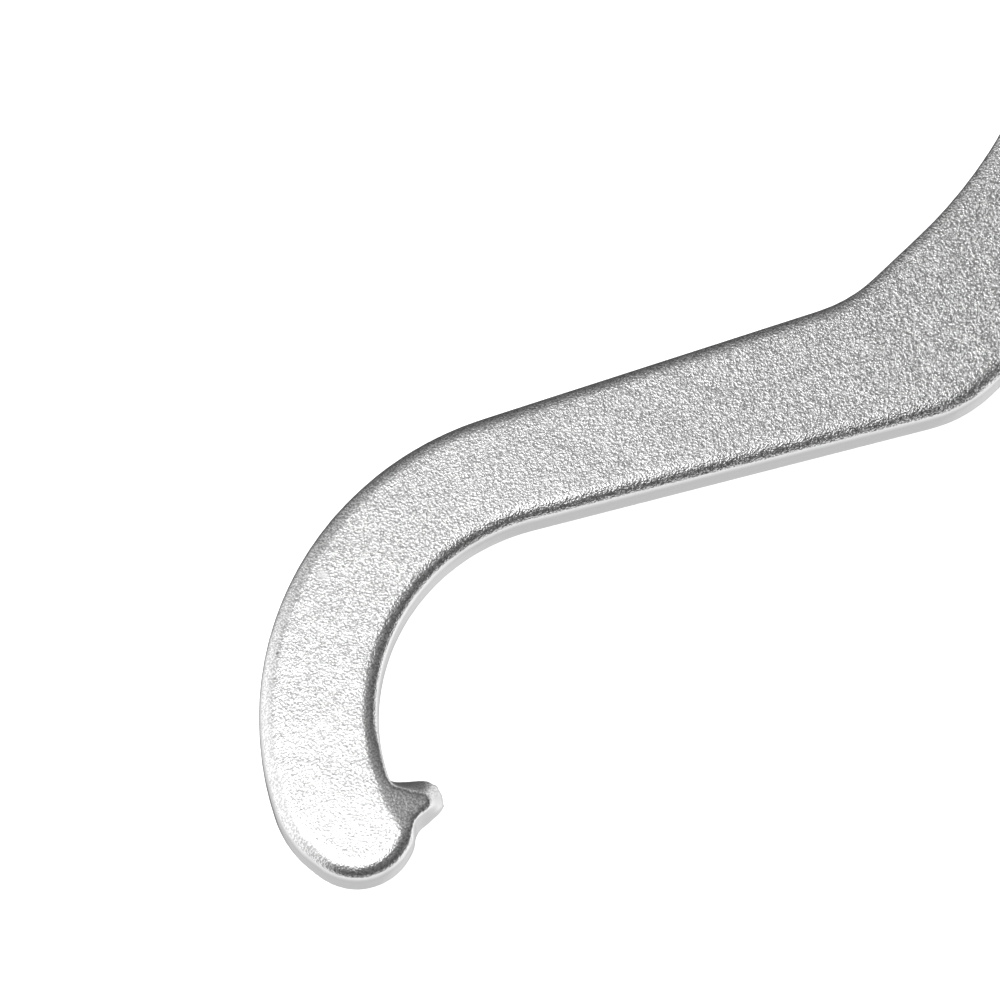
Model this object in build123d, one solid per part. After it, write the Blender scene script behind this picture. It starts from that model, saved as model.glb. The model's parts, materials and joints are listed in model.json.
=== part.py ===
from build123d import *
import os
from math import acos, atan2, cos, degrees, hypot, radians, sin, tan

# Adjustable fire hydrant wrench: a hook spanner and a pentagon loop forged in one head, and a
# screw handle that drives a sliding jaw against the hydrant nut.
# Millimetres. +X runs along the handle, away from the hook. +Y is the side that the hook bulges
# to. +Z is up when the wrench lies flat. The origin is the centre of the nut opening.

# Spanner hook and its arm
HOOK_CENTRE = (-205.5, -8.8)
HOOK_INNER_R = 46.0
HOOK_OUTER_R = 72.5
BAR_THICKNESS = 12.7
EDGE_R = 3.7
# Corners of the hook's end, as radius and angle about the hook's centre, each with its round
HOOK_HEEL = (48.4, 173.4)
INNER_LIP, INNER_LIP_R = (46.0, 171.0), 6.0
NOSE, NOSE_R = (65.2, 180.4), 13.3
NOSE_SHOULDER_ANGLE, NOSE_SHOULDER_R = 160.0, 24.0
NOSE_OVERLAP_ANGLE = 10.0

# The tooth: plan of its foot, plan of its crest, and its taper towards the tip
TOOTH_ROOT, TOOTH_LEAD, TOOTH_TRAIL = (52.0, 151.5), (34.9, 157.2), (37.0, 168.5)
TOOTH_NOTCH, TOOTH_HEEL, TOOTH_BACK = (44.7, 169.4), (48.5, 172.0), (56.0, 163.0)
TOOTH_LEAD_R, TOOTH_TRAIL_R, TOOTH_FILLET_R = 4.5, 2.0, 3.0
CREST_ROOT, CREST_LEAD, CREST_TRAIL = (49.4, 153.3), (41.0, 165.1), (41.5, 166.8)
CREST_NOTCH, CREST_HEEL, CREST_R = (44.9, 168.4), (48.7, 170.9), 0.4
FOOT_TOP_Z = -3.0
TOOTH_TIP_R, TOOTH_TIP_HALF = 36.7, 3.3
TOOTH_BACK_R, TOOTH_BACK_HALF = 48.0, 6.1
TOOTH_ANGLE = 163.5
TOOTH_INNER_CORNER = (46.0, 154.6)
STRIP_ANGLES, STRIP_INSET = (140.2, 170.4), 0.2

# Bend and neck between the arm and the loop
BEND_X = -95.5
NECK_HALF_WIDTH = 18.4
BEND_TOP_R = 33.0
BEND_BOTTOM_R = 30.0
FLARE_R = 112.0
THICKEN_START_X = -44.0
THICKEN_END_X = -28.0
THICKEN_BLEND_R = 30.0

# Loop for the hydrant nut, pentagonal at its far end
LOOP_OUTER_R = 38.0
LOOP_THICKNESS = 20.0
LOOP_REAR_X = 48.0
LOOP_REAR_CORNER_R = 21.0
V_APEX_X = -25.3
V_HALF_ANGLE = 54.0
V_APEX_R = 2.5
OPENING_HALF_WIDTH = 24.6
OPENING_SIDE_R = 5.0
OPENING_REAR_X = 38.2
OPENING_REAR_R = 8.0

# Threaded boss
BOSS_R = 17.0
BOSS_END_X = 70.0
BOSS_FRONT_R = 14.0
BOSS_SWELL = 9.0
BOSS_END_CHAMFER = 1.8

# Trapezoidal thread, 20 mm by 4 mm, right-hand
PITCH = 4.0
THREAD_MAJOR_R = 10.0
THREAD_MINOR_R = 7.75
THREAD_CLEARANCE = 0.3
THREAD_FLANK_ANGLE = 15.0

# Sliding jaw, its washer and its two pins
JAW_FACE_X = 20.5
JAW_THICKNESS = 15.0
JAW_HALF_WIDTH = 24.2
JAW_HEIGHT = 18.0
JAW_REAR_CORNER_R = 8.5
JAW_FRONT_HALF_WIDTH = 18.0
JAW_FRONT_CORNER = 4.5
JAW_NOTCH_DEPTH = 3.0
JAW_EDGE_R = 1.2
JAW_BORE_DEPTH = 8.5
WASHER_THICKNESS = 2.0
WASHER_OUTER_R = 12.0
WASHER_CHAMFER = 0.3
PIN_R = 1.5
PIN_X = 31.5
PIN_RECESS = 0.3
PIN_CHAMFER = 0.3

# Screw handle
SPIGOT_R = 6.5
SPIGOT_FIT = 0.06
SPIGOT_CHAMFER = 0.5
SPIGOT_END_X = 27.4
GROOVE_WIDTH = 3.4
GROOVE_R = 4.7
SHOULDER_GAP = 0.05
THREAD_END_X = 106.0
UNDERCUT_R = 7.6
UNDERCUT_LENGTH = 4.0
SHANK_R = 11.0
SHANK_CHAMFER = 2.0
GRIP_START_X = 168.0
GRIP_END_X = 292.0
GRIP_R = 10.6
GRIP_STEP = 0.6
HANDLE_END_X = 318.0
HANDLE_END_CHAMFER = 3.0
HANG_HOLE_X = 304.0
HANG_HOLE_R = 4.0

# Set screw and pellet that put a drag on the handle's thread
DRAG_X = 57.0
DRAG_R = 3.0
DRAG_FIT = 0.03
PELLET_BOTTOM_Z = 10.25
PELLET_TOP_Z = 12.6
DRAG_TOP_Z = 16.2
DRAG_SOCKET_FLATS = 3.0
DRAG_SOCKET_DEPTH = 2.4
DRAG_CHAMFER = 0.35

# How far a cutting shape runs past what it cuts
OVERSHOOT = 5.0

HALF_BAR = BAR_THICKNESS / 2
HALF_LOOP = LOOP_THICKNESS / 2
JAW_REAR_X = JAW_FACE_X + JAW_THICKNESS
SHOULDER_X = JAW_REAR_X + WASHER_THICKNESS + SHOULDER_GAP
FROM_BASE = (Align.CENTER, Align.CENTER, Align.MIN)


def hook_point(radius, angle):
    """A point given by its radius and angle about the hook's centre."""
    turn = radians(angle)
    return (HOOK_CENTRE[0] + radius * cos(turn), HOOK_CENTRE[1] + radius * sin(turn))


def tangent_angle(corner, radius):
    """Angle about the hook's centre where the line from a corner touches a hook circle."""
    dx, dy = corner[0] - HOOK_CENTRE[0], corner[1] - HOOK_CENTRE[1]
    return degrees(atan2(dy, dx) + acos(radius / hypot(dx, dy)))


def round_corner(face, point, radius):
    """The face with its corner nearest to a point rounded."""
    corner = face.vertices().sort_by_distance((point[0], point[1], 0))[0]
    return fillet(corner, radius)


def arm_outline():
    """Hook, arm and neck in plan, without the tooth."""
    top, bottom = (BEND_X, NECK_HALF_WIDTH), (BEND_X, -NECK_HALF_WIDTH)
    outer_start = tangent_angle(top, HOOK_OUTER_R)
    inner_start = tangent_angle(bottom, HOOK_INNER_R)
    sector = NOSE_SHOULDER_ANGLE - inner_start
    ring = make_face([
        CenterArc(HOOK_CENTRE, HOOK_OUTER_R, inner_start, sector),
        Line(hook_point(HOOK_OUTER_R, NOSE_SHOULDER_ANGLE), hook_point(HOOK_INNER_R, NOSE_SHOULDER_ANGLE)),
        CenterArc(HOOK_CENTRE, HOOK_INNER_R, inner_start, sector),
        Line(hook_point(HOOK_INNER_R, inner_start), hook_point(HOOK_OUTER_R, inner_start)),
    ])
    arm = make_face(Polyline(
        hook_point(HOOK_OUTER_R, outer_start), top,
        bottom, hook_point(HOOK_INNER_R, inner_start), close=True))
    neck = make_face(Polyline(top, (0, NECK_HALF_WIDTH), (0, -NECK_HALF_WIDTH), bottom, close=True))
    return ring + arm + neck, top, bottom


def hook_end():
    """The rounded nose past the end of the hook's arcs, in plan, without the tooth."""
    middle = (HOOK_INNER_R + HOOK_OUTER_R) / 2
    return make_face(Polyline(
        hook_point(HOOK_OUTER_R, NOSE_SHOULDER_ANGLE), hook_point(*NOSE), hook_point(*HOOK_HEEL),
        hook_point(*INNER_LIP), hook_point(HOOK_INNER_R, NOSE_SHOULDER_ANGLE),
        hook_point(middle, NOSE_SHOULDER_ANGLE - NOSE_OVERLAP_ANGLE), close=True))


def head_outline():
    """Plan of the forging: hook, arm, neck and loop, without the tooth and the opening."""
    arm, top, bottom = arm_outline()
    loop = Circle(LOOP_OUTER_R)
    loop += Pos(LOOP_REAR_X / 2, 0) * Rectangle(LOOP_REAR_X, 2 * LOOP_OUTER_R)
    for side in (1, -1):
        loop = round_corner(loop, (LOOP_REAR_X, side * LOOP_OUTER_R), LOOP_REAR_CORNER_R)
    plan = arm + hook_end() + loop
    plan = round_corner(plan, hook_point(*NOSE), NOSE_R)
    plan = round_corner(plan, hook_point(HOOK_OUTER_R, NOSE_SHOULDER_ANGLE), NOSE_SHOULDER_R)
    plan = round_corner(plan, hook_point(*INNER_LIP), INNER_LIP_R)
    plan = round_corner(plan, top, BEND_TOP_R)
    plan = round_corner(plan, bottom, BEND_BOTTOM_R)
    neck_end_x = -(LOOP_OUTER_R ** 2 - NECK_HALF_WIDTH ** 2) ** 0.5
    for side in (1, -1):
        plan = round_corner(plan, (neck_end_x, side * NECK_HALF_WIDTH), FLARE_R)
    return plan


def head_profile():
    """Side view of the forging: the hook's bar thickens into the loop."""
    back = HOOK_CENTRE[0] - HOOK_OUTER_R - OVERSHOOT
    corners = [
        (back, HALF_BAR), (THICKEN_START_X, HALF_BAR),
        (THICKEN_END_X, HALF_LOOP), (LOOP_REAR_X + OVERSHOOT, HALF_LOOP),
    ]
    profile = make_face(Polyline(*corners, *[(x, -z) for x, z in reversed(corners)], close=True))
    for side in (1, -1):
        profile = round_corner(profile, (THICKEN_START_X, side * HALF_BAR), THICKEN_BLEND_R)
        profile = round_corner(profile, (THICKEN_END_X, side * HALF_LOOP), THICKEN_BLEND_R)
    return Plane.XZ * profile


def rim_edges(solid):
    """Edges where the upright walls meet the top and bottom of the forging."""
    walls = [face for face in solid.faces() if abs(face.normal_at().Z) < 0.01]
    wall_edges = [edge for wall in walls for edge in wall.edges()]
    level = [edge for edge in solid.edges() if abs(edge.tangent_at(0.5).Z) < 0.9]
    return ShapeList([edge for edge in level if any(edge.is_same(other) for other in wall_edges)])


def tooth_root_strip():
    """Strip of the hook's bar that the tooth grows from, in plan."""
    start, end = STRIP_ANGLES
    inner_r, outer_r = HOOK_INNER_R + STRIP_INSET, TOOTH_ROOT[0]
    return make_face([
        CenterArc(HOOK_CENTRE, outer_r, start, end - start),
        Line(hook_point(outer_r, end), hook_point(inner_r, end)),
        CenterArc(HOOK_CENTRE, inner_r, start, end - start),
        Line(hook_point(inner_r, start), hook_point(outer_r, start)),
    ])


def hook_polygon(*corners):
    """A plan polygon from radii and angles about the hook's centre."""
    return make_face(Polyline(*[hook_point(*corner) for corner in corners], close=True))


def tooth():
    """The tooth inside the hook: an upright foot, a long bevel on the inner side that rises to a
    narrow crest on the upper face, and a taper towards its tip."""
    foot = hook_polygon(TOOTH_ROOT, TOOTH_LEAD, TOOTH_TRAIL, TOOTH_NOTCH, TOOTH_HEEL, TOOTH_BACK)
    foot = round_corner(foot, hook_point(*TOOTH_LEAD), TOOTH_LEAD_R)
    foot = round_corner(foot, hook_point(*TOOTH_TRAIL), TOOTH_TRAIL_R)
    crest = hook_polygon(CREST_ROOT, CREST_LEAD, CREST_TRAIL, CREST_NOTCH, CREST_HEEL, TOOTH_BACK)
    crest = round_corner(crest, hook_point(*CREST_LEAD), CREST_R)
    crest = round_corner(crest, hook_point(*CREST_TRAIL), CREST_R)
    strip = tooth_root_strip()
    plan = round_corner(strip + foot, hook_point(*TOOTH_INNER_CORNER), TOOTH_FILLET_R)
    solid = Pos(0, 0, -HALF_BAR) * extrude(plan, HALF_BAR + FOOT_TOP_Z) + extrude(strip, HALF_BAR, both=True)
    solid += loft([Pos(0, 0, FOOT_TOP_Z) * foot, Pos(0, 0, HALF_BAR) * crest], ruled=True)
    front, rear = TOOTH_TIP_R - 5, TOOTH_BACK[0] + 1
    side = Plane.XZ * make_face(Polyline(
        (front, tooth_half_height(front)), (rear, tooth_half_height(rear)),
        (rear, -tooth_half_height(rear)), (front, -tooth_half_height(front)), close=True))
    return solid & Pos(*HOOK_CENTRE) * Rot(0, 0, TOOTH_ANGLE) * extrude(side, 30, both=True)


def tooth_half_height(radius):
    """Half the tooth's height at a radius from the hook's centre, from the taper."""
    slope = (TOOTH_BACK_HALF - TOOTH_TIP_HALF) / (TOOTH_BACK_R - TOOTH_TIP_R)
    return TOOTH_TIP_HALF + (radius - TOOTH_TIP_R) * slope


def opening_plan():
    """Plan of the hole for the nut: a V for two flats, straight sides for the jaw."""
    side_x = V_APEX_X + OPENING_HALF_WIDTH / tan(radians(V_HALF_ANGLE))
    half = [(V_APEX_X, 0), (side_x, OPENING_HALF_WIDTH), (OPENING_REAR_X, OPENING_HALF_WIDTH)]
    face = make_face(Polyline(*half, *[(x, -y) for x, y in reversed(half[1:])], close=True))
    face = round_corner(face, half[0], V_APEX_R)
    for side in (1, -1):
        face = round_corner(face, (side_x, side * OPENING_HALF_WIDTH), OPENING_SIDE_R)
        face = round_corner(face, (OPENING_REAR_X, side * OPENING_HALF_WIDTH), OPENING_REAR_R)
    return face


def turned(points):
    """A solid of revolution about the handle's axis, from points as distance along it and radius."""
    return revolve(make_face(Polyline(*points, close=True)), Axis.X)


def thread_groove_width(radius):
    """Width of the screw's thread groove at a radius."""
    middle_r = THREAD_MAJOR_R - PITCH / 4
    return PITCH / 2 + THREAD_CLEARANCE + 2 * (radius - middle_r) * tan(radians(THREAD_FLANK_ANGLE))


def thread_groove(start_x, end_x):
    """The thread's groove: a trapezoid that winds round the handle's axis, right-hand."""
    outer_r = THREAD_MAJOR_R + 0.5
    turns = round((end_x - start_x) / PITCH)
    path = Helix(pitch=PITCH, height=turns * PITCH, radius=(THREAD_MINOR_R + outer_r) / 2)
    inner_half, outer_half = thread_groove_width(THREAD_MINOR_R) / 2, thread_groove_width(outer_r) / 2
    section = Plane.XZ * make_face(Polyline(
        (THREAD_MINOR_R, -inner_half), (THREAD_MINOR_R, inner_half),
        (outer_r, outer_half), (outer_r, -outer_half), close=True))
    return Pos(start_x, 0, 0) * Rot(0, 90, 0) * sweep(section, path=path, is_frenet=True)


def boss():
    """The round boss that the handle screws through."""
    front = OPENING_REAR_X - 1
    rim_x = BOSS_END_X - BOSS_END_CHAMFER
    return turned([
        (front, 0), (front, BOSS_FRONT_R), (OPENING_REAR_X + BOSS_SWELL, BOSS_R), (rim_x, BOSS_R),
        (BOSS_END_X, BOSS_R - BOSS_END_CHAMFER), (BOSS_END_X, 0),
    ])


def boss_bore():
    """The tapped hole through the boss, at the size of the thread's root, open at both mouths."""
    root_r = THREAD_MAJOR_R + THREAD_CLEARANCE
    return Pos(OPENING_REAR_X - 2, 0, 0) * Rot(0, 90, 0) * Cylinder(
        root_r, BOSS_END_X - OPENING_REAR_X + 4, align=FROM_BASE)


def head_forging():
    """Hook, arm, loop and boss in one piece."""
    body = extrude(head_outline(), HALF_LOOP + 1, both=True) & extrude(head_profile(), 200, both=True)
    body = fillet(rim_edges(body), EDGE_R)
    body += boss()
    body -= extrude(opening_plan(), BOSS_R + 1, both=True)
    body += tooth()
    body -= boss_bore()
    return body - Pos(DRAG_X, 0, 0) * Cylinder(DRAG_R, BOSS_R + 5, align=FROM_BASE)


def screw_spigot():
    """The turned end that the jaw rides on, with the groove for the jaw's pins."""
    groove_start, groove_end = PIN_X - GROOVE_WIDTH / 2, PIN_X + GROOVE_WIDTH / 2
    return turned([
        (SPIGOT_END_X, 0), (SPIGOT_END_X, SPIGOT_R - SPIGOT_CHAMFER),
        (SPIGOT_END_X + SPIGOT_CHAMFER, SPIGOT_R),
        (groove_start, SPIGOT_R), (groove_start, GROOVE_R), (groove_end, GROOVE_R),
        (groove_end, SPIGOT_R), (SHOULDER_X, SPIGOT_R), (SHOULDER_X, 0),
    ])


def screw_thread():
    """The threaded length of the handle."""
    blank = Pos(SHOULDER_X, 0, 0) * Rot(0, 90, 0) * Cylinder(
        THREAD_MAJOR_R, THREAD_END_X - SHOULDER_X, align=FROM_BASE)
    return blank - thread_groove(SHOULDER_X - PITCH, THREAD_END_X + UNDERCUT_LENGTH / 2)


def screw_shank():
    """The handle behind the thread: undercut, plain shank, grip and end."""
    undercut_end = THREAD_END_X + UNDERCUT_LENGTH
    shank = turned([
        (THREAD_END_X, 0), (THREAD_END_X, UNDERCUT_R), (undercut_end, UNDERCUT_R),
        (undercut_end, SHANK_R - SHANK_CHAMFER), (undercut_end + SHANK_CHAMFER, SHANK_R),
        (GRIP_START_X, SHANK_R), (GRIP_START_X + GRIP_STEP, GRIP_R),
        (GRIP_END_X - GRIP_STEP, GRIP_R),
        (GRIP_END_X, SHANK_R), (HANDLE_END_X - HANDLE_END_CHAMFER, SHANK_R),
        (HANDLE_END_X, SHANK_R - HANDLE_END_CHAMFER), (HANDLE_END_X, 0),
    ])
    return shank - Pos(HANG_HOLE_X, 0, 0) * Cylinder(HANG_HOLE_R, 3 * SHANK_R)


def handle_screw():
    """The bar that is the handle and the screw in one."""
    return screw_spigot() + screw_thread() + screw_shank()


def jaw_shoe():
    """The sliding jaw: a block with a shallow V for a square nut's corner."""
    front_corner_x = JAW_FACE_X + JAW_FRONT_CORNER
    half = [
        (JAW_FACE_X + JAW_NOTCH_DEPTH, 0), (JAW_FACE_X, JAW_NOTCH_DEPTH), (JAW_FACE_X, JAW_FRONT_HALF_WIDTH),
        (front_corner_x, JAW_HALF_WIDTH), (JAW_REAR_X, JAW_HALF_WIDTH),
    ]
    plan = make_face(Polyline(*half, *[(x, -y) for x, y in reversed(half[1:])], close=True))
    for side in (1, -1):
        plan = round_corner(plan, (JAW_REAR_X, side * JAW_HALF_WIDTH), JAW_REAR_CORNER_R)
    block = extrude(plan, JAW_HEIGHT / 2, both=True)
    block = fillet(rim_edges(block), JAW_EDGE_R)
    bore_r = SPIGOT_R + SPIGOT_FIT
    bore_start = JAW_REAR_X - JAW_BORE_DEPTH
    block -= turned([(bore_start, 0), (bore_start, bore_r), (JAW_REAR_X + 1, bore_r), (JAW_REAR_X + 1, 0)])
    for side in (1, -1):
        block -= Pos(PIN_X, side * pin_offset(), 0) * Cylinder(PIN_R, JAW_HEIGHT + 2)
    return block


def pin_offset():
    """Distance from the handle's axis to a jaw pin's axis: the pin runs in the spigot's groove."""
    return GROOVE_R + SPIGOT_FIT + PIN_R


def jaw_pin(side):
    """One of the two pins that hold the jaw on the screw."""
    pin = Cylinder(PIN_R, JAW_HEIGHT - 2 * PIN_RECESS)
    pin = chamfer(pin.edges().filter_by(GeomType.CIRCLE), PIN_CHAMFER)
    return Pos(PIN_X, side * pin_offset(), 0) * pin


def thrust_washer():
    """The hardened washer between the screw's shoulder and the jaw."""
    bore_r = SPIGOT_R + SPIGOT_FIT
    front, rear, edge = JAW_REAR_X, JAW_REAR_X + WASHER_THICKNESS, WASHER_CHAMFER
    return turned([
        (front, bore_r), (front, WASHER_OUTER_R), (rear - edge, WASHER_OUTER_R),
        (rear, WASHER_OUTER_R - edge), (rear, bore_r),
    ])


def drag_screw():
    """The set screw over the pellet."""
    length = DRAG_TOP_Z - PELLET_TOP_Z
    screw = Cylinder(DRAG_R - DRAG_FIT, length, align=FROM_BASE)
    screw = chamfer(screw.edges().filter_by(GeomType.CIRCLE), DRAG_CHAMFER)
    socket = extrude(RegularPolygon(DRAG_SOCKET_FLATS / 2, 6, major_radius=False), DRAG_SOCKET_DEPTH)
    return Pos(DRAG_X, 0, PELLET_TOP_Z) * (screw - Pos(0, 0, length - DRAG_SOCKET_DEPTH) * socket)


def drag_pellet():
    """The nylon pellet that rubs on the thread."""
    length = PELLET_TOP_Z - PELLET_BOTTOM_Z
    return Pos(DRAG_X, 0, PELLET_BOTTOM_Z) * Cylinder(DRAG_R - DRAG_FIT, length, align=FROM_BASE)


PARTS = {
    "head_forging": head_forging,
    "handle_screw": handle_screw,
    "jaw_shoe": jaw_shoe,
    "jaw_pin_left": lambda: jaw_pin(1),
    "jaw_pin_right": lambda: jaw_pin(-1),
    "thrust_washer": thrust_washer,
    "drag_screw": drag_screw,
    "drag_pellet": drag_pellet,
}

if __name__ == "__main__":
    os.makedirs("parts", exist_ok=True)
    for name, make in PARTS.items():
        export_step(make(), f"parts/{name}.step")
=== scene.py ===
import json
from math import cos, pi, radians, sin

import bpy
import bmesh
from mathutils import Matrix, Vector


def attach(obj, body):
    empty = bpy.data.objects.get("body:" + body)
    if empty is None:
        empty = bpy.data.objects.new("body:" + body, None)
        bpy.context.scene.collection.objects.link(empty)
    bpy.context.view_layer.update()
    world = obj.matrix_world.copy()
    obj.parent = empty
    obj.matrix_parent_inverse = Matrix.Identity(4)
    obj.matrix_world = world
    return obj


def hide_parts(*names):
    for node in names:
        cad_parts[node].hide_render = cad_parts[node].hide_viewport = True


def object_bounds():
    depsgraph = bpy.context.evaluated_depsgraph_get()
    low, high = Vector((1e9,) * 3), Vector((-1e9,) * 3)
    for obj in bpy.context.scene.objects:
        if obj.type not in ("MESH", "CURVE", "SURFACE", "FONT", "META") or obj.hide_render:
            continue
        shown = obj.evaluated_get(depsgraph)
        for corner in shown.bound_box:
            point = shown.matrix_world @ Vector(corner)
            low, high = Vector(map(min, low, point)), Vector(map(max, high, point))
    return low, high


# A fire hydrant wrench: shot-blasted and plated forging, turned screw handle with a knurled grip.
# Metres. +X runs along the handle away from the hook, +Z is up.

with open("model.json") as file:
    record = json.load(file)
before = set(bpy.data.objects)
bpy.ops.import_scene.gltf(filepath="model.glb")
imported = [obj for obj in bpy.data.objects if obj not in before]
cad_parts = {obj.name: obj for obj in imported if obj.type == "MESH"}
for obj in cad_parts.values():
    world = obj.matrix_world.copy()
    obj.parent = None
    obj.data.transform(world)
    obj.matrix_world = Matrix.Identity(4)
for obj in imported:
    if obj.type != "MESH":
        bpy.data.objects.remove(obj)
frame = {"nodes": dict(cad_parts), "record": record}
cad_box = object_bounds()
nodes = frame["nodes"]
mounts = {m["name"]: m for m in frame["record"]["mounts"]}
MM = 0.001
HALF_BAR = 6.35 * MM

# Camera: seen from the hook's open side and from above, with a long lens
AZIMUTH, ELEVATION = -44.65, 72.0
CAMERA_DISTANCE = 2.4
VIEW_WIDTH = 1000 / 4.53 * MM
SENSOR = 36.0
AIM_RIGHT, AIM_UP = -19.16 * MM, 46.31 * MM

# Knurl on the grip
KNURL_START, KNURL_END = 168.4 * MM, 291.6 * MM
KNURL_ROOT_R, KNURL_TIP_R = 10.62 * MM, 10.99 * MM
KNURL_COUNT, KNURL_PITCH, KNURL_SAMPLES = 30, 3.6 * MM, 8
KNURL_STEEPNESS = 1.2

# Skin of the forging: the remesh's voxels, then rounds of smoothing
SKIN_VOXEL = 0.7 * MM
SKIN_SMOOTHING, SKIN_ROUNDS = 0.5, 10

# Floor and softbox
FLOOR_HALF, FLOOR_GLOW = 6.0, 0.9
SOFTBOX_PLACE, SOFTBOX_SIZE, SOFTBOX_POWER = (-0.30, 0.02, 0.50), 0.32, 0.84

# Studio surround. The glow's levels go by the cosine of the angle from its middle. The other levels
# go by height, from 0 straight down to 1 straight up. A spread gives the cosines at which the left
# wall, the flag or the right side begins and is complete.
SURROUND_STRENGTH = 1.5
GLOW_TILT = 25.0
GLOW_LEVELS = ((0.0, 0.08), (0.34, 0.09), (0.64, 0.115), (0.86, 0.18), (0.94, 0.28), (1.0, 0.38))
TABLE_EDGE, EDGE_BLUR = 0.40, 0.004
TABLE_LEVELS = ((0.0, 0.46), (0.08, 0.47), (0.20, 0.64), (0.32, 0.80), (0.40, 0.88))
LEFT_LEVELS = ((0.40, 0.90), (0.76, 0.88), (0.88, 0.78), (1.0, 0.60))
RIGHT_TABLE_LEVELS = ((0.0, 0.54), (0.10, 0.58), (0.22, 0.84), (0.40, 1.0))
DARK_LEVEL = 0.08
FLAG_ANGLE = 108.0
LEFT_SPREAD, FLAG_SPREAD, RIGHT_SPREAD = (0.55, 0.92), (0.72, 0.93), (0.72, 1.0)

# Blasted surface: close grain, clumps of it and long waves. The grain is shallower at the hook and
# reaches its full depth towards the loop.
GRAIN_SIZE, GRAIN_DEPTH = 0.47 * MM, 0.30 * MM
CLUMP_SIZE, CLUMP_DEPTH = 2.6 * MM, 0.10 * MM
WAVE_SIZE, WAVE_DEPTH = 14 * MM, 0.45 * MM
HOOK_X, LOOP_X, HOOK_GRAIN = -260 * MM, -90 * MM, 0.36
WALL_GREY = 0.72

# Two casual marks on the hook's face: a smooth blemish and a small pit, whose dark spot is painted shade
BLEMISH = (-225.1 * MM, 54.5 * MM, HALF_BAR)
PIT_SHADE_SPOT = (-244.9 * MM, 48.6 * MM, HALF_BAR)


# ---------------------------------------------------------------- materials

def new_material(name):
    """An empty material with a Principled shader: (material, nodes, link function, shader)."""
    material = bpy.data.materials.new(name)
    material.use_nodes = True
    tree = material.node_tree
    return material, tree.nodes, tree.links.new, tree.nodes["Principled BSDF"]


def object_coords(nodes):
    """Object coordinates, which stay with the piece as it moves."""
    return nodes.new("ShaderNodeTexCoord").outputs["Object"]


def noise(nodes, link, coords, size, detail=2.0, rough=0.5):
    """A noise texture whose features are about size metres across."""
    texture = nodes.new("ShaderNodeTexNoise")
    texture.inputs["Scale"].default_value = 1.0 / size
    texture.inputs["Detail"].default_value = detail
    texture.inputs["Roughness"].default_value = rough
    link(coords, texture.inputs["Vector"])
    return texture.outputs["Fac"]


def remap(nodes, link, value, low, high, to_low, to_high):
    """The value moved from one range to another, and held inside the new one."""
    mapper = nodes.new("ShaderNodeMapRange")
    for name, number in (("From Min", low), ("From Max", high), ("To Min", to_low), ("To Max", to_high)):
        mapper.inputs[name].default_value = number
    link(value, mapper.inputs["Value"])
    return mapper.outputs["Result"]


def absolute(nodes, link, value):
    """The value without its sign."""
    node = nodes.new("ShaderNodeMath")
    node.operation = "ABSOLUTE"
    link(value, node.inputs[0])
    return node.outputs["Value"]


def product(nodes, link, first, second):
    """Two values multiplied."""
    node = nodes.new("ShaderNodeMath")
    node.operation = "MULTIPLY"
    link(first, node.inputs[0])
    link(second, node.inputs[1])
    return node.outputs["Value"]


def spot(nodes, link, coords, centre, inner, outer):
    """1 within the inner radius of a point, falling to 0 at the outer radius."""
    gap = nodes.new("ShaderNodeVectorMath")
    gap.operation = "DISTANCE"
    gap.inputs[1].default_value = centre
    link(coords, gap.inputs[0])
    return remap(nodes, link, gap.outputs["Value"], inner, outer, 1, 0)


def bump(nodes, link, height, depth, strength, below=None):
    """A bump of the given depth in metres, on top of another bump if there is one. The strength
    is a number or a socket."""
    node = nodes.new("ShaderNodeBump")
    node.inputs["Distance"].default_value = depth
    if isinstance(strength, float):
        node.inputs["Strength"].default_value = strength
    else:
        link(strength, node.inputs["Strength"])
    link(height, node.inputs["Height"])
    if below:
        link(below, node.inputs["Normal"])
    return node.outputs["Normal"]


def tint(nodes, link, value, dark, light):
    """Grey between two levels, by a value from 0 to 1."""
    ramp = nodes.new("ShaderNodeValToRGB")
    ramp.color_ramp.elements[0].color = (*dark, 1)
    ramp.color_ramp.elements[1].color = (*light, 1)
    link(value, ramp.inputs["Fac"])
    return ramp.outputs["Color"]


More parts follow.
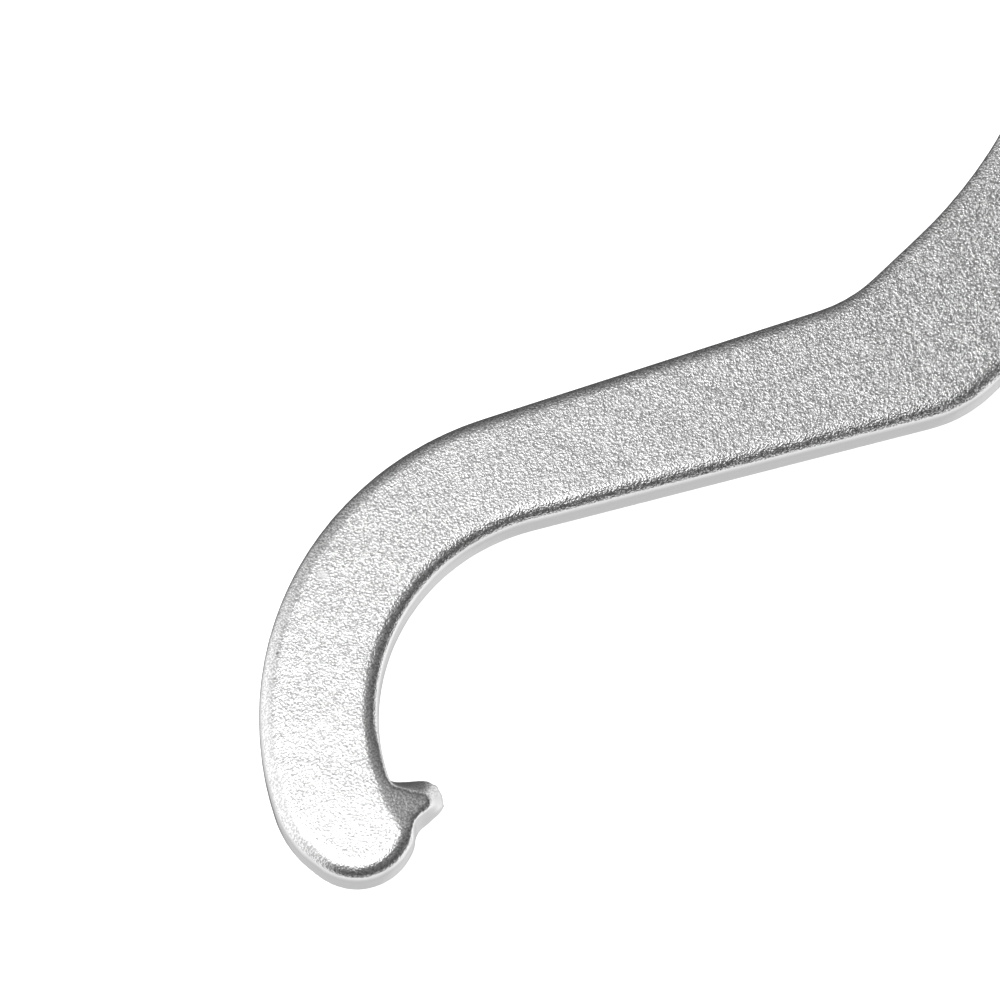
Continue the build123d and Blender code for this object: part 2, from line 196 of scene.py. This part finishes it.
def blasted_plating():
    """Bright plating over a shot-blasted forging: small close dents, painted shade (a darker base
    colour) in their hollows, and smoother on the upright walls, where the flash was trimmed and ground."""
    material, n, link, shader = new_material("blasted_plating")
    coords = object_coords(n)
    grain = noise(n, link, coords, GRAIN_SIZE, detail=1.5, rough=0.6)
    clumps = noise(n, link, coords, CLUMP_SIZE, detail=2.0)
    waves = noise(n, link, coords, WAVE_SIZE, detail=2.0)
    facing = n.new("ShaderNodeTexCoord").outputs["Normal"]
    levelness = absolute(n, link, part_along(n, link, facing, (0, 0, 1)))
    blasted = remap(n, link, levelness, 0.44, 0.56, 0, 1)
    smooth_spot = spot(n, link, coords, BLEMISH, 0.7 * MM, 1.7 * MM)
    rough_part = remap(n, link, smooth_spot, 0, 1, 1.0, 0.1)
    normal = bump(n, link, waves, WAVE_DEPTH, 0.6)
    normal = bump(n, link, clumps, CLUMP_DEPTH, 0.7, normal)
    axis = n.new("ShaderNodeSeparateXYZ")
    link(coords, axis.inputs["Vector"])
    towards_loop = remap(n, link, axis.outputs["X"], HOOK_X, LOOP_X, HOOK_GRAIN, 1.0)
    grain_strength = product(n, link, remap(n, link, blasted, 0, 1, 0.06, 1.0), rough_part)
    grain_strength = product(n, link, grain_strength, towards_loop)
    normal = bump(n, link, grain, GRAIN_DEPTH, grain_strength, normal)
    link(normal, shader.inputs["Normal"])
    # Painted shade: the base colour is darker in the grain's hollows and lighter on its tops
    dent_shade = remap(n, link, grain, 0.41, 0.56, 0, 1)
    dent_shaded_grey = tint(n, link, dent_shade, (0.44, 0.44, 0.44), (0.97, 0.97, 0.97))
    # The painted dent shade fades towards the hook
    dent_shade_fade = remap(n, link, towards_loop, HOOK_GRAIN, 1.0, 0.50, 0.0)
    dent_shaded_grey = mix_greys(n, link, dent_shade_fade, dent_shaded_grey, 0.73)
    face = mix_greys(n, link, smooth_spot, dent_shaded_grey, 0.70)
    # Painted shade: a near-black spot stands in for the shade inside the small pit
    face = mix_greys(n, link, spot(n, link, coords, PIT_SHADE_SPOT, 0.1 * MM, 0.6 * MM), face, 0.12)
    link(mix_greys(n, link, blasted, WALL_GREY, face), shader.inputs["Base Color"])
    link(remap(n, link, blasted, 0, 1, 0.20, 0.27), shader.inputs["Roughness"])
    shader.inputs["Metallic"].default_value = 1.0
    return material


def turned_plating():
    """Bright plating over a turned bar: fine rings round its axis and faint handling marks."""
    material, n, link, shader = new_material("turned_plating")
    coords = object_coords(n)
    squeeze = n.new("ShaderNodeMapping")
    squeeze.inputs["Scale"].default_value = (1.0, 0.02, 0.02)
    link(coords, squeeze.inputs["Vector"])
    rings = noise(n, link, squeeze.outputs["Vector"], 0.35 * MM, detail=3.0)
    marks = noise(n, link, coords, 14 * MM, detail=5.0, rough=0.6)
    normal = bump(n, link, rings, 0.02 * MM, 0.6)
    link(normal, shader.inputs["Normal"])
    link(tint(n, link, marks, (0.66, 0.66, 0.66), (0.78, 0.78, 0.78)), shader.inputs["Base Color"])
    link(remap(n, link, marks, 0.3, 0.7, 0.20, 0.34), shader.inputs["Roughness"])
    shader.inputs["Metallic"].default_value = 1.0
    return material


def milled_plating():
    """Plated milled steel of the jaw, with faint cutter lines across it."""
    material, n, link, shader = new_material("milled_plating")
    coords = object_coords(n)
    squeeze = n.new("ShaderNodeMapping")
    squeeze.inputs["Scale"].default_value = (1.0, 0.04, 1.0)
    link(coords, squeeze.inputs["Vector"])
    lines = noise(n, link, squeeze.outputs["Vector"], 0.5 * MM, detail=2.0)
    stains = noise(n, link, coords, 6 * MM, detail=4.0)
    normal = bump(n, link, lines, 0.02 * MM, 0.6)
    link(normal, shader.inputs["Normal"])
    link(tint(n, link, stains, (0.55, 0.55, 0.56), (0.72, 0.72, 0.72)), shader.inputs["Base Color"])
    link(remap(n, link, stains, 0.3, 0.7, 0.24, 0.40), shader.inputs["Roughness"])
    shader.inputs["Metallic"].default_value = 1.0
    return material


def ground_steel(name, dark, light, rough_low, rough_high):
    """Small ground or blackened steel parts, with a fine even grain."""
    material, n, link, shader = new_material(name)
    coords = object_coords(n)
    grain = noise(n, link, coords, 0.3 * MM, detail=3.0)
    stains = noise(n, link, coords, 3 * MM, detail=4.0)
    link(bump(n, link, grain, 0.01 * MM, 0.6), shader.inputs["Normal"])
    link(tint(n, link, stains, dark, light), shader.inputs["Base Color"])
    link(remap(n, link, grain, 0.3, 0.7, rough_low, rough_high), shader.inputs["Roughness"])
    shader.inputs["Metallic"].default_value = 1.0
    return material


def nylon():
    """Natural nylon of the drag pellet."""
    material, n, link, shader = new_material("nylon")
    coords = object_coords(n)
    mottle = noise(n, link, coords, 1.0 * MM, detail=3.0)
    link(bump(n, link, mottle, 0.03 * MM, 0.4), shader.inputs["Normal"])
    link(tint(n, link, mottle, (0.70, 0.68, 0.60), (0.82, 0.81, 0.75)), shader.inputs["Base Color"])
    link(remap(n, link, mottle, 0.3, 0.7, 0.42, 0.55), shader.inputs["Roughness"])
    return material


def dress(obj, material):
    """The material as the object's only one."""
    obj.data.materials.clear()
    obj.data.materials.append(material)


# ---------------------------------------------------------------- pieces

def add_object(name, mesh):
    """A mesh put in the scene as a new object."""
    obj = bpy.data.objects.new(name, mesh)
    bpy.context.scene.collection.objects.link(obj)
    return obj


def apply_modifiers(obj):
    """The object's mesh with its modifiers made permanent."""
    depsgraph = bpy.context.evaluated_depsgraph_get()
    mesh = bpy.data.meshes.new_from_object(obj.evaluated_get(depsgraph))
    obj.modifiers.clear()
    obj.data = mesh


def forging_skin():
    """The forging's own surface: the frame's shape with its sharp joins softened."""
    skin = add_object("forging_skin", nodes["head_forging"].data.copy())
    remesh = skin.modifiers.new("remesh", "REMESH")
    remesh.mode = "VOXEL"
    remesh.voxel_size = SKIN_VOXEL
    apply_modifiers(skin)
    smooth = skin.modifiers.new("smooth", "SMOOTH")
    smooth.factor = SKIN_SMOOTHING
    smooth.iterations = SKIN_ROUNDS
    apply_modifiers(skin)
    skin.data.shade_smooth()
    return skin


def triangle_wave(x):
    """From 0 at whole numbers to 1 half-way between them."""
    return 1 - abs(2 * (x % 1) - 1)


def knurl_skin():
    """The grip's diamond knurl: two crossing sets of V grooves that leave blunt pyramids."""
    rows = round((KNURL_END - KNURL_START) / KNURL_PITCH * KNURL_SAMPLES)
    columns = KNURL_COUNT * KNURL_SAMPLES
    verts, faces = [], []
    for i in range(-1, rows + 2):
        row = min(max(i, 0), rows)
        x = KNURL_START + (KNURL_END - KNURL_START) * row / rows
        for j in range(columns):
            along, around = row / KNURL_SAMPLES, j / KNURL_SAMPLES
            height = min(triangle_wave(around + along), triangle_wave(around - along))
            height = 0 if i != row else min(1.0, KNURL_STEEPNESS * height)
            radius = KNURL_ROOT_R + (KNURL_TIP_R - KNURL_ROOT_R) * height
            turn = 2 * pi * j / columns
            verts.append((x, radius * cos(turn), radius * sin(turn)))
    for i in range(rows + 2):
        for j in range(columns):
            a, b = i * columns + j, i * columns + (j + 1) % columns
            faces.append((a, b, b + columns, a + columns))
    mesh = bpy.data.meshes.new("knurl_skin")
    mesh.from_pydata(verts, [], faces)
    mesh.update()
    return add_object("knurl_skin", mesh)


# ---------------------------------------------------------------- stage

def view_axes():
    """The camera's right, up and backward directions."""
    a, e = radians(AZIMUTH), radians(ELEVATION)
    back = Vector((sin(a) * cos(e), -cos(a) * cos(e), sin(e)))
    right = Vector((cos(a), sin(a), 0))
    return right, back.cross(right), back


def add_camera():
    """A long lens on the hook's side of the wrench, framing the hook and the bend."""
    right, up, back = view_axes()
    hook = Vector(mounts["hook_throat"]["pos_m"])
    hook.z = HALF_BAR
    aim = hook + right * AIM_RIGHT + up * AIM_UP
    data = bpy.data.cameras.new("camera")
    data.sensor_width = SENSOR
    data.lens = SENSOR * CAMERA_DISTANCE / VIEW_WIDTH
    data.clip_start, data.clip_end = 0.05, 20
    camera = bpy.data.objects.new("camera", data)
    camera.matrix_world = Matrix.Translation(aim + back * CAMERA_DISTANCE) @ Matrix(
        (right, up, back)).transposed().to_4x4()
    bpy.context.scene.collection.objects.link(camera)
    bpy.context.scene.camera = camera


def add_floor(z):
    """A plain pale floor, bright enough to read as white."""
    bm = bmesh.new()
    bmesh.ops.create_grid(bm, x_segments=1, y_segments=1, size=FLOOR_HALF)
    mesh = bpy.data.meshes.new("floor")
    bm.to_mesh(mesh)
    bm.free()
    floor = add_object("floor", mesh)
    floor.location.z = z
    material, n, link, shader = new_material("floor")
    shader.inputs["Base Color"].default_value = (0.9, 0.9, 0.9, 1)
    shader.inputs["Roughness"].default_value = 1.0
    shader.inputs["Emission Color"].default_value = (1, 1, 1, 1)
    shader.inputs["Emission Strength"].default_value = FLOOR_GLOW
    dress(floor, material)
    floor.visible_glossy = False


def add_softbox(name, place, aim, size, power):
    """A square soft lamp at a place, turned to a point."""
    data = bpy.data.lights.new(name, "AREA")
    data.shape = "SQUARE"
    data.size = size
    data.energy = power
    lamp = bpy.data.objects.new(name, data)
    lamp.location = place
    lamp.rotation_euler = (Vector(aim) - Vector(place)).to_track_quat("-Z", "Y").to_euler()
    lamp.visible_camera = False
    bpy.context.scene.collection.objects.link(lamp)


def part_along(nodes, link, direction, along):
    """How far a direction points along another, from -1 to 1."""
    dot = nodes.new("ShaderNodeVectorMath")
    dot.operation = "DOT_PRODUCT"
    dot.inputs[1].default_value = along
    link(direction, dot.inputs[0])
    return dot.outputs["Value"]


def level_part(nodes, link, direction):
    """A direction's compass part: laid flat and made one long."""
    flat = nodes.new("ShaderNodeVectorMath")
    flat.operation = "MULTIPLY"
    flat.inputs[1].default_value = (1, 1, 0)
    link(direction, flat.inputs[0])
    unit = nodes.new("ShaderNodeVectorMath")
    unit.operation = "NORMALIZE"
    link(flat.outputs["Vector"], unit.inputs[0])
    return unit.outputs["Vector"]


def grey_ramp(nodes, link, value, stops):
    """Grey levels at places from 0 to 1, joined smoothly."""
    ramp = nodes.new("ShaderNodeValToRGB")
    elements = ramp.color_ramp.elements
    for element, (place, level) in zip(elements, (stops[0], stops[-1])):
        element.position, element.color = place, (level, level, level, 1)
    for place, level in stops[1:-1]:
        elements.new(place).color = (level, level, level, 1)
    link(value, ramp.inputs["Fac"])
    return ramp.outputs["Color"]


def mix_greys(nodes, link, factor, first, second):
    """One colour turning into another as the factor goes from 0 to 1; a number is a fixed grey."""
    mix = nodes.new("ShaderNodeMix")
    mix.data_type = "RGBA"
    link(factor, mix.inputs["Factor"])
    for socket, value in (("A", first), ("B", second)):
        if isinstance(value, float):
            mix.inputs[socket].default_value = (value, value, value, 1)
        else:
            link(value, mix.inputs[socket])
    return mix.outputs["Result"]


def add_world():
    """Studio surround: a glow overhead, dark walls with a bright one on the left, a pale table
    that a dark flag hides on the far side."""
    world = bpy.data.worlds.new("studio")
    bpy.context.scene.world = world
    world.use_nodes = True
    n, link = world.node_tree.nodes, world.node_tree.links.new
    n.clear()
    direction = n.new("ShaderNodeTexCoord").outputs["Generated"]
    compass = level_part(n, link, direction)
    right, up, back = view_axes()
    near = Vector((back.x, back.y, 0)).normalized()
    tilt, flag = radians(GLOW_TILT), radians(FLAG_ANGLE)
    glow = part_along(n, link, direction, Vector((0, 0, cos(tilt))) - near * sin(tilt))
    on_left = remap(n, link, part_along(n, link, compass, -right), *LEFT_SPREAD, 0, 1)
    height = remap(n, link, part_along(n, link, direction, (0, 0, 1)), -1, 1, 0, 1)
    above = mix_greys(n, link, on_left, grey_ramp(n, link, glow, GLOW_LEVELS),
                      grey_ramp(n, link, height, LEFT_LEVELS))
    flag_side = part_along(n, link, compass, right * cos(flag) - near * sin(flag))
    on_flag = remap(n, link, flag_side, *FLAG_SPREAD, 0, 1)
    on_right = remap(n, link, part_along(n, link, compass, right), *RIGHT_SPREAD, 0, 1)
    table = mix_greys(n, link, on_right, grey_ramp(n, link, height, TABLE_LEVELS),
                      grey_ramp(n, link, height, RIGHT_TABLE_LEVELS))
    below = mix_greys(n, link, on_flag, table, DARK_LEVEL)
    over_edge = remap(n, link, height, TABLE_EDGE - EDGE_BLUR, TABLE_EDGE + EDGE_BLUR, 0, 1)
    background = n.new("ShaderNodeBackground")
    background.inputs["Strength"].default_value = SURROUND_STRENGTH
    link(mix_greys(n, link, over_edge, below, above), background.inputs["Color"])
    output = n.new("ShaderNodeOutputWorld")
    link(background.outputs["Background"], output.inputs["Surface"])


# ---------------------------------------------------------------- the wrench

skin = forging_skin()
dress(skin, blasted_plating())
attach(skin, "head")
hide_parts("head_forging")

bar_plating = turned_plating()
dress(nodes["handle_screw"], bar_plating)
knurl = knurl_skin()
dress(knurl, bar_plating)
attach(knurl, "handle")

dress(nodes["jaw_shoe"], milled_plating())
pins = ground_steel("pin_steel", (0.48, 0.48, 0.49), (0.62, 0.62, 0.63), 0.18, 0.30)
dress(nodes["jaw_pin_left"], pins)
dress(nodes["jaw_pin_right"], pins)
washer_steel = ground_steel("washer_steel", (0.42, 0.42, 0.43), (0.56, 0.56, 0.56), 0.24, 0.36)
dress(nodes["thrust_washer"], washer_steel)
black_oxide = ground_steel("black_oxide", (0.03, 0.03, 0.035), (0.07, 0.07, 0.08), 0.35, 0.5)
dress(nodes["drag_screw"], black_oxide)
dress(nodes["drag_pellet"], nylon())

add_floor(cad_box[0].z)
add_camera()
add_world()
add_softbox("softbox", SOFTBOX_PLACE, mounts["hook_throat"]["pos_m"], SOFTBOX_SIZE, SOFTBOX_POWER)
bpy.context.scene.view_settings.view_transform = "Standard"
